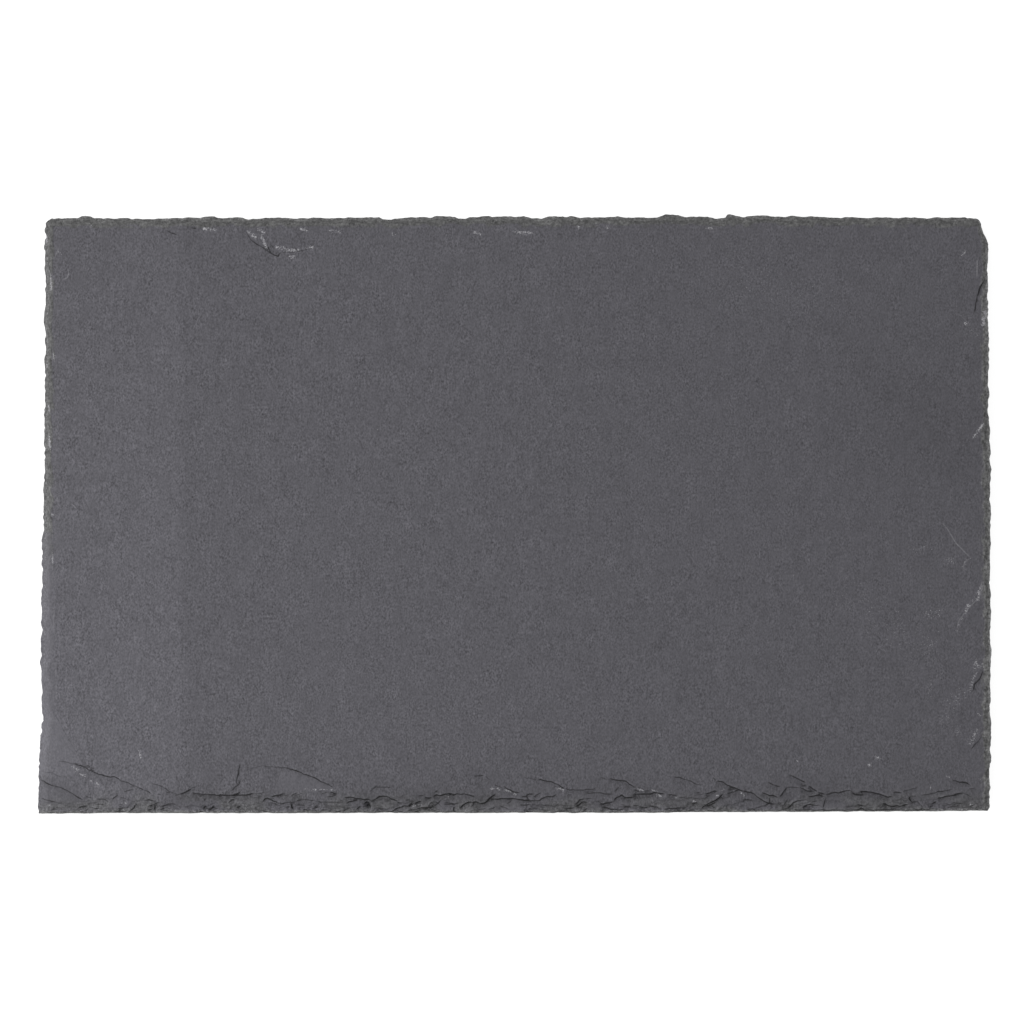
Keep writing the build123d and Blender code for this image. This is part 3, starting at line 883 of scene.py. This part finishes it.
# The broken side of the stone: rows down from the rim of the face, set in by wide and narrow ledges
wall_rows = 7
wide_ledge, narrow_ledge = 1.3, 0.6
loop = np.concatenate([strip[0], strip[1:, -1], rim_index[0, -2::-1], strip[-2:0:-1, 0]])
all_round = np.r_[0 : len(loop), 0]
along_loop = np.cumsum(np.linalg.norm(np.diff(points[loop], axis=0, prepend=points[loop][:1]), axis=1))
tangent = np.roll(points[loop], -2, 0) - np.roll(points[loop], 2, 0)
inward = np.column_stack([-tangent[:, 1], tangent[:, 0]]) / np.linalg.norm(tangent[:, :2], axis=1)[:, None]
wall = [loop]
for row in range(1, wall_rows + 1):
    down = row / wall_rows
    level = points[loop, 2] + (bottom - points[loop, 2]) * down
    depth = field(along_loop, level, (11, 0.9), 81, 0, wide_ledge)
    depth = (depth + field(along_loop, level, (2.5, 0.7), 82, 0, narrow_ledge)) * ease(down * 2)
    ring = np.column_stack([points[loop, :2] + inward * depth[:, None], level])
    wall.append(len(points) + np.arange(len(loop)))
    points = np.concatenate([points, ring])
faces += quads(np.array(wall)[::-1, all_round]).tolist()

# The underside: a ring in from the lower edge, then a wide grid
ring_inset = 3.0
grid_inset = 12.0
under = len(points) + np.arange(len(loop))
points = np.concatenate([points, points[wall[-1]] * [1 - ring_inset / right, 1 - ring_inset / back, 1]])
faces += quads(np.stack([under, wall[-1]])[:, all_round]).tolist()
base_columns = np.linspace(left + grid_inset, right - grid_inset, 48)
base_rows = np.linspace(front + grid_inset, back - grid_inset, 30)
base_x, base_y = (grid.ravel() for grid in np.meshgrid(base_columns, base_rows))
base = len(points) + np.arange(base_x.size).reshape(len(base_rows), len(base_columns))
points = np.concatenate([points, np.column_stack([base_x, base_y, np.full(base_x.size, bottom)])])
faces += quads(base)[:, ::-1].tolist()
faces += stitch(points, under, border(base))[:, ::-1].tolist()


def new_piece(name, corners, faces, sharp_angle):
    """A smooth piece: its corners are in millimetres, and its edges sharp past an angle in degrees."""
    mesh = bpy.data.meshes.new(name)
    mesh.from_pydata((corners * mm).tolist(), [], faces)
    mesh.shade_smooth()
    mesh.set_sharp_from_angle(angle=math.radians(sharp_angle))
    piece = bpy.data.objects.new(name, mesh)
    bpy.context.scene.collection.objects.link(piece)
    return piece


slate = new_piece("slate", points, faces, sharp_angle=50)


class Facet(NamedTuple):
    """A smooth floor where a whole leaf came off: its outline, clockwise, as (along, in from the front), how
    soft the outline is, and how much paler the floor is."""

    points: list
    softness: float
    paler: float


facets = [
    # At the front left corner and up the left side
    Facet([(-9, 16), (-9, 70), (19.1, 21.3), (16, 16)], 0.9, 0.13),
    Facet([(-9, 41), (-9, 118), (6.2, 118), (7.6, 41)], 0.9, 0.04),
    Facet([(-9, 3), (-9, 17), (12, 13), (22, 5)], 3.0, -0.07),
    # Under the second long tear, and two in the lip
    Facet([(98.1, 8.8), (102, 18.4), (108, 17.6), (115.3, 15), (124.3, 10)], 0.8, 0.11),
    Facet([(184, 1), (186, 4), (190, 5.4), (197, 6), (203, 5.4), (207, 1)], 1.0, 0.05),
    Facet([(324, 1.6), (326, 4.6), (341, 4.8), (343, 1.6)], 1.0, 0.1),
]


def within(outline, x, y):
    """How far places lie inside a convex outline, clockwise: the least distance from its sides' lines."""
    corners = np.array(outline, float) + [left, front]
    steps = np.roll(corners, -1, 0) - corners
    to_x, to_y = x[:, None] - corners[:, 0], y[:, None] - corners[:, 1]
    return ((steps[:, 1] * to_x - steps[:, 0] * to_y) / np.hypot(*steps.T)).min(axis=1)


smooth, facet_paler = np.zeros(len(plan)), np.zeros(len(plan))
for facet in facets:
    inside = ease(within(facet.points, face_x, face_y) / facet.softness + 0.5)
    smooth = np.maximum(smooth, inside)
    facet_paler += facet.paler * inside

# The face is paler along the front lip and, with a painted highlight, on the arrises of the tears, and darker
# behind the lip and, with painted shade, in the crevices
lip_paler, lip_reach = 0.19, 6.0
behind_lip_darker, behind_lip, behind_lip_width = 0.06, 8.5, 5.5
front_darker, front_reach = 0.03, 40.0
crevice_shade_darker, arris_highlight_paler = 0.18, 0.28
from_front = face_y - front
front_tone = lip_paler * ease(fade(from_front, 0, lip_reach))
front_tone -= behind_lip_darker * bell(from_front - behind_lip, behind_lip_width)
front_tone -= front_darker * ease(fade(from_front, 0, front_reach))
# Painted highlight on the tears' arrises, painted shade in their crevices
front_tone += arris_highlight_paler * arris_highlight - crevice_shade_darker * crevice_shade

# It is also paler over its left end, a painted sheen, most towards the front, where the light is painted
# brighter, and along its left edge, painted light where that edge faces the lamp. At the back, the left end
# is palest at its border. To the front counts from -0.5 at the back to 0.5 at the front
end_length, end_border = 60.0, 5.0
end_paler, end_paler_to_front, end_border_paler = 0.09, 1.6, 0.06
left_edge_paler, left_edge_reach = 0.13, 12.0
from_left = face_x - left
to_front = (back - face_y) / (back - front) - 0.5
left_end = ease(fade(from_left, end_length - end_border / 2, end_length + end_border / 2))
left_light_tone = end_paler * left_end * (1 + end_paler_to_front * to_front)
left_light_tone += end_border_paler * left_end * (0.5 - to_front) * (from_left / end_length) ** 2
left_light_tone += left_edge_paler * ease(fade(from_left, 0, left_edge_reach))

# Painted light falloff: towards the left it gets paler at the front and darker at the back, and its left half
# is a little paler
corner_paler = 0.16
left_half_paler, half_full, half_none = 0.03, 0.35, 0.65
lengthways = from_left / (right - left)
light_falloff_tone = corner_paler * to_front * (1 - lengthways)
light_falloff_tone += left_half_paler * ease(fade(lengthways, half_full, half_none))


def paint(name, face_values, wall_value=0.0, under_value=0.0):
    """Keeps one number for each vertex, for the stone's material to read: the face's own, one for the wall
    and one for the underside."""
    values = np.full(len(points), under_value, np.float32)
    values[: len(plan) + wall_rows * len(loop)] = wall_value
    values[: len(plan)] = face_values
    slate.data.attributes.new(name, "FLOAT", "POINT").data.foreach_set("value", values)


# Fresh stone with its painted highlight and the whole face count as a little bruised, and the grain gets
# weaker towards the right.
# A smooth floor lacks these shares of the broken, crumbly and grainy look
fresh_and_lit_bruised, least_bruised = 0.45, 0.1
grainy_at_left, grain_lost_to_right = 0.78, 0.18
less_broken, less_crumbly, less_grainy = 0.5, 0.6, 0.4
bruised = np.maximum(np.maximum(crushed(face_x, face_y), fresh_and_lit_bruised * fresh_and_lit), least_bruised)
scratch_away, scratch_strength = scratched(face_x, face_y)
# The tone mixes painted light and shade with the stone's own paler and darker places
tone = edge_paler + facet_paler + front_tone + left_light_tone + light_falloff_tone + patch_tone(face_x, face_y)
grainy = grainy_at_left - grain_lost_to_right * lengthways**2
paint("broken", np.clip(broken, 0, 1) * (1 - less_broken * smooth), wall_value=1.0, under_value=0.2)
paint("crumbly", np.clip(crumbly, 0, 1) * (1 - less_crumbly * smooth), wall_value=0.25, under_value=0.1)
paint("grainy", grainy * (1 - less_grainy * smooth), wall_value=0.5, under_value=0.75)
# Painted shade on the risers of the crumbled steps
paint("riser", riser_shade * (1 - less_crumbly * smooth))
# On the wall, 0.15 paler is painted light that brightens the broken side where it lies in shade
paint("paler", tone, wall_value=0.15)
paint("bruised", bruised)
paint("bedded", 0.0, wall_value=1.0)
paint("crack_away", crack_away, far_away, far_away)
paint("crack_open", crack_open)
paint("scratch_away", scratch_away, far_away, far_away)
paint("scratch_strength", scratch_strength)


def srgb(red, green, blue):
    """A colour from its three values out of 255 as seen on a screen, as linear light."""
    value = np.array([red, green, blue]) / 255
    return (*np.where(value < 0.04045, value / 12.92, ((value + 0.055) / 1.055) ** 2.4), 1.0)


def new_material(name):
    """A new material of one shader: the material, the tree that its pattern is built in, and the shader."""
    material = bpy.data.materials.new(name)
    material.use_nodes = True
    tree = material.node_tree
    return material, tree, tree.nodes["Principled BSDF"]


def add_node(tree, kind, settings=None, **inputs):
    """A node with its settings, and its inputs set to values or linked to other nodes' sockets. An input is
    named, or counted from _0."""
    node = tree.nodes.new(kind)
    for key, value in (settings or {}).items():
        setattr(node, key, value)
    for key, value in inputs.items():
        socket = node.inputs[int(key[1:])] if key[0] == "_" else node.inputs[key.replace("_", " ")]
        if isinstance(value, bpy.types.NodeSocket):
            tree.links.new(value, socket)
        else:
            socket.default_value = value
    return node


def noise(tree, scale, detail, stretch=(1, 1, 1)):
    """Noise over object coordinates, with so many bumps to the millimetre, stretched along an axis where that
    axis has less than 1."""
    place = add_node(tree, "ShaderNodeTexCoord").outputs["Object"]
    mapped = add_node(tree, "ShaderNodeMapping", Vector=place, Scale=[s / mm for s in stretch]).outputs[0]
    inputs = {"Vector": mapped, "Scale": scale, "Detail": detail, "Roughness": 0.6}
    return add_node(tree, "ShaderNodeTexNoise", **inputs).outputs[0]


def spread(tree, value, low, high, start=0.25, end=0.75, way="LINEAR"):
    """Stretches a value so that the part of it from start to end covers low to high, evenly or eased."""
    inputs = {"Value": value, "From_Min": start, "From_Max": end, "To_Min": low, "To_Max": high}
    return add_node(tree, "ShaderNodeMapRange", {"interpolation_type": way}, **inputs).outputs[0]


def mix(tree, factor, first, second, blend="MIX"):
    """One colour over another."""
    settings = {"data_type": "RGBA", "blend_type": blend}
    return add_node(tree, "ShaderNodeMix", settings, _0=factor, _6=first, _7=second).outputs[2]


def maths(tree, operation, first, second=0.0):
    """A value worked out from one or two others."""
    return add_node(tree, "ShaderNodeMath", {"operation": operation}, _0=first, _1=second).outputs[0]


def painted(tree, name):
    """The numbers painted on the vertices under a name."""
    return add_node(tree, "ShaderNodeAttribute", {"attribute_name": name}).outputs["Fac"]


def on_line(tree, away, half_width):
    """1 on a line that the painted distance is measured from, easing to 0 at half its width either side."""
    distance = maths(tree, "ABSOLUTE", painted(tree, away))
    return spread(tree, distance, 1.0, 0.0, start=0.0, end=half_width, way="SMOOTHSTEP")


face_grey = srgb(86, 85, 90)
break_grey = srgb(87, 87, 87)
bruise_grey = srgb(160, 159, 163)
pit_grey = srgb(40, 40, 43)
riser_shade_grey = srgb(36, 36, 36)
crack_shadow_grey = srgb(24, 24, 24)
scratch_half_width = 0.4
closed_crack, open_crack = 0.2, 0.54


def ground_colour(tree, grain, leaves):
    """The slate's grey, times its grain, fibres, mottle, crumbs, leaves and beds and its painted tone. Smooth
    patches and smooth floors have less grain."""
    fibres = noise(tree, scale=1.0, detail=3, stretch=(1, 0.3, 1))
    smooth_patches = noise(tree, scale=0.16, detail=3, stretch=(1, 0.8, 1))
    mottle = noise(tree, scale=0.12, detail=5, stretch=(1, 0.7, 1))
    crumbs = noise(tree, scale=0.75, detail=4)
    beds = noise(tree, scale=0.9, detail=4, stretch=(0.06, 0.06, 1))
    broken_share = painted(tree, "broken")
    grain_share = maths(tree, "MULTIPLY", painted(tree, "grainy"), spread(tree, smooth_patches, 0.3, 1.15))
    colour = mix(tree, broken_share, face_grey, break_grey)
    for share, shade in (
        (grain_share, spread(tree, grain, 0.1, 1.9)),
        (grain_share, spread(tree, fibres, 0.75, 1.25)),
        (1.0, spread(tree, mottle, 0.92, 1.08)),
        (painted(tree, "crumbly"), spread(tree, crumbs, 0.35, 1.65, start=0.35, end=0.65)),
        (broken_share, spread(tree, leaves, 0.6, 1.4)),
        (painted(tree, "bedded"), spread(tree, beds, 0.55, 1.6)),
        (1.0, maths(tree, "ADD", painted(tree, "paler"), 1.0)),
    ):
        colour = mix(tree, share, colour, shade, "MULTIPLY")
    return colour


def with_marks(tree, colour):
    """The stone's colour under pale bruises, dark pits, painted shade on the risers, pale scratches, and
    painted shadow in the cracks.
    """
    flecks = noise(tree, scale=1.8, detail=3)
    # Pale flecks show where noise and bruise together pass a level, so that they thin out with distance
    bruise_level = maths(tree, "ADD", flecks, maths(tree, "MULTIPLY", painted(tree, "bruised"), 0.35))
    bruise_share = spread(tree, bruise_level, 0.0, 1.0, start=0.72, end=0.9)
    pit_share = spread(tree, flecks, 0.6, 0.0, start=0.24, end=0.29)
    riser_shade_share = maths(tree, "MULTIPLY", painted(tree, "riser"), 0.4)
    strength = maths(tree, "MULTIPLY", painted(tree, "scratch_strength"), spread(tree, flecks, 0.1, 0.9))
    scratch_share = maths(tree, "MULTIPLY", on_line(tree, "scratch_away", scratch_half_width), strength)
    # A crack's gap gets a painted shadow where its distance is less than its half width, which grows with how
    # open it is
    opening = painted(tree, "crack_open")
    half_width = spread(tree, opening, closed_crack, open_crack, start=0.0, end=1.0)
    crack_shadow_strength = spread(tree, opening, 0.0, 1.0, start=0.0, end=0.75)
    crack_shadow_share = maths(tree, "MULTIPLY", on_line(tree, "crack_away", half_width), crack_shadow_strength)
    for share, grey in (
        (bruise_share, bruise_grey),
        (pit_share, pit_grey),
        (riser_shade_share, riser_shade_grey),
        (scratch_share, bruise_grey),
        (crack_shadow_share, crack_shadow_grey),
    ):
        colour = mix(tree, share, colour, grey)
    return colour


riven_slate, tree, shader = new_material("riven_slate")
grain = noise(tree, scale=1.55, detail=4, stretch=(1, 0.65, 1))
leaves = noise(tree, scale=2.6, detail=3, stretch=(0.12, 0.12, 1))
stone_colour = with_marks(tree, ground_colour(tree, grain, leaves))
tree.links.new(stone_colour, shader.inputs["Base Color"])
shader.inputs["Roughness"].default_value = 0.72
shader.inputs["Specular IOR Level"].default_value = 0.2
grain_bump = add_node(tree, "ShaderNodeBump", Height=grain, Distance=0.12 * mm, Strength=0.6)
layers = maths(tree, "MULTIPLY", leaves, painted(tree, "broken"))
layer_inputs = {"Height": layers, "Distance": 0.4 * mm, "Strength": 0.8, "Normal": grain_bump.outputs[0]}
layer_bump = add_node(tree, "ShaderNodeBump", **layer_inputs)
tree.links.new(layer_bump.outputs[0], shader.inputs["Normal"])
slate.data.materials.append(riven_slate)
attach(slate, "root")
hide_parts("slate_board")

# Rubber feet
# Four round bumpers of moulded black rubber under the corners, so that the stone doesn't scratch a table.
# Each tapers to a rounded, slightly dished tread, and is stuck on by its wide end.
foot_places = ["front_left", "front_right", "back_right", "back_left"]
draft = 0.8
top_chamfer = 0.2
tread_rounding = 0.6
dish = 0.15
rubber_black = srgb(30, 30, 31)
dust_grey = srgb(62, 61, 59)


def foot_profile(radius, height):
    """Radii and heights from the chamfered top down the tapered side, round the tread's edge in a quarter
    circle, and in over its dish."""
    bend = np.linspace(0, np.pi / 2, 9)
    inward = np.linspace(0.95, 0.05, 12)
    flat = radius - draft - tread_rounding
    side = [radius - top_chamfer, radius], [height, height - top_chamfer]
    edge = flat + tread_rounding * np.cos(bend), tread_rounding * (1 - np.sin(bend))
    hollow = flat * inward, dish * ease(2 * (1 - inward))
    return [np.concatenate(values) for values in zip(side, edge, hollow)]


def turned(name, centre, radii, heights, count=64):
    """A round piece: a profile from its top to its foot, turned about an upright axis through a centre, with
    a flat cap on each end."""
    turn = np.arange(count) * 2 * np.pi / count
    x = centre[0] + radii[:, None] * np.cos(turn)
    y = centre[1] + radii[:, None] * np.sin(turn)
    corners = np.stack(np.broadcast_arrays(x, y, heights[:, None]), -1).reshape(-1, 3)
    rings = np.arange(x.size).reshape(x.shape)
    sides = quads(rings[::-1, np.r_[0:count, 0]]).tolist()
    return new_piece(name, corners, [*sides, rings[0].tolist(), rings[-1, ::-1].tolist()], sharp_angle=40)


black_rubber, tree, shader = new_material("black_rubber")
dust = noise(tree, scale=0.8, detail=4)
dusty = mix(tree, spread(tree, dust, 0.0, 0.35), rubber_black, dust_grey)
tree.links.new(dusty, shader.inputs["Base Color"])
tree.links.new(spread(tree, dust, 0.55, 0.8), shader.inputs["Roughness"])
shader.inputs["Specular IOR Level"].default_value = 0.35
pores = noise(tree, scale=5.0, detail=2)
pore_bump = add_node(tree, "ShaderNodeBump", Height=pores, Distance=0.05 * mm, Strength=0.5)
tree.links.new(pore_bump.outputs[0], shader.inputs["Normal"])
for foot_place in foot_places:
    low, high = (np.array(corner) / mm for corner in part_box(f"foot_{foot_place}"))
    profile = foot_profile(radius=(high[0] - low[0]) / 2, height=high[2])
    foot = turned(f"rubber_foot_{foot_place}", (low + high) / 2, *profile)
    foot.data.materials.append(black_rubber)
    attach(foot, "root")
    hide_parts(f"foot_{foot_place}")

# Adhesive film
# A disc of double-sided tape that holds each foot to the underside of the stone. Only its rim shows.
film_grey = srgb(176, 172, 160)
film_pale = srgb(206, 203, 194)
adhesive_film, tree, shader = new_material("adhesive_film")
haze = noise(tree, scale=1.2, detail=3)
tree.links.new(mix(tree, spread(tree, haze, 0.0, 1.0), film_grey, film_pale), shader.inputs["Base Color"])
tree.links.new(spread(tree, haze, 0.35, 0.55), shader.inputs["Roughness"])
for foot_place in foot_places:
    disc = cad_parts[f"adhesive_{foot_place}"]
    disc.data.materials.clear()
    disc.data.materials.append(adhesive_film)

# Floor
# A plain white ground that the board's feet stand on.
# It is grey to the light that falls on it, so that it throws little back, and glows white for the camera.
floor_reach = 6.0
floor_grey = (0.35, 0.35, 0.35, 1)
floor_glow = 0.85
white = (1, 1, 1, 1)
floor_mesh = bpy.data.meshes.new("floor")
floor_corners = [(x * floor_reach, y * floor_reach, 0) for x, y in ((-1, -1), (1, -1), (1, 1), (-1, 1))]
floor_mesh.from_pydata(floor_corners, [], [(0, 1, 2, 3)])
floor = bpy.data.objects.new("floor", floor_mesh)
bpy.context.scene.collection.objects.link(floor)


def seen_directly(tree):
    """1 for a ray from the camera, straight or by way of gloss or glass, and 0 for other light."""
    rays = add_node(tree, "ShaderNodeLightPath").outputs
    seen = maths(tree, "ADD", rays["Is Camera Ray"], rays["Is Glossy Ray"])
    return maths(tree, "ADD", seen, rays["Is Transmission Ray"])


white_ground, tree, shader = new_material("white_ground")
shader.inputs["Base Color"].default_value = floor_grey
shader.inputs["Roughness"].default_value = 0.9
shader.inputs["Specular IOR Level"].default_value = 0.0
glow_strength = maths(tree, "MULTIPLY", seen_directly(tree), floor_glow)
glow = add_node(tree, "ShaderNodeEmission", Color=white, Strength=glow_strength)
lit_floor = add_node(tree, "ShaderNodeAddShader", _0=shader.outputs[0], _1=glow.outputs[0])
tree.links.new(lit_floor.outputs[0], tree.nodes["Material Output"].inputs["Surface"])
floor_mesh.materials.append(white_ground)

# Studio light
# A large soft lamp above the board and well to its left, and even light from all round.
sky_strength = 0.55
lamp_place = (-1.0, 0.2, 1.0)
lamp_power = 12.8
lamp_size = 0.8
world = bpy.data.worlds.new("studio")
bpy.context.scene.world = world
world.use_nodes = True
tree = world.node_tree
backdrop = add_node(tree, "ShaderNodeBackground", Color=white, Strength=1.0).outputs[0]
sky = add_node(tree, "ShaderNodeBackground", Color=white, Strength=sky_strength).outputs[0]
surroundings = add_node(tree, "ShaderNodeMixShader", _0=seen_directly(tree), _1=sky, _2=backdrop)
tree.links.new(surroundings.outputs[0], tree.nodes["World Output"].inputs["Surface"])
lamp_data = bpy.data.lights.new("soft_lamp", "AREA")
lamp_data.energy = lamp_power
lamp_data.size = lamp_size
lamp = bpy.data.objects.new("soft_lamp", lamp_data)
lamp.location = lamp_place
lamp.rotation_euler = (-lamp.location).to_track_quat("-Z", "Y").to_euler()
bpy.context.scene.collection.objects.link(lamp)

# Camera
# It looks straight down at the board from about a metre, as the photograph does.
picture_width = 0.430
picture_middle = (-0.0013, 0.0014)
lip_level = 0.004
camera_data = bpy.data.cameras.new("camera")
camera_data.lens = 85
camera = bpy.data.objects.new("camera", camera_data)
camera_height = picture_width * camera_data.lens / camera_data.sensor_width
camera.location = (*picture_middle, lip_level + camera_height)
bpy.context.scene.collection.objects.link(camera)
bpy.context.scene.camera = camera
bpy.context.scene.view_settings.view_transform = "Standard"
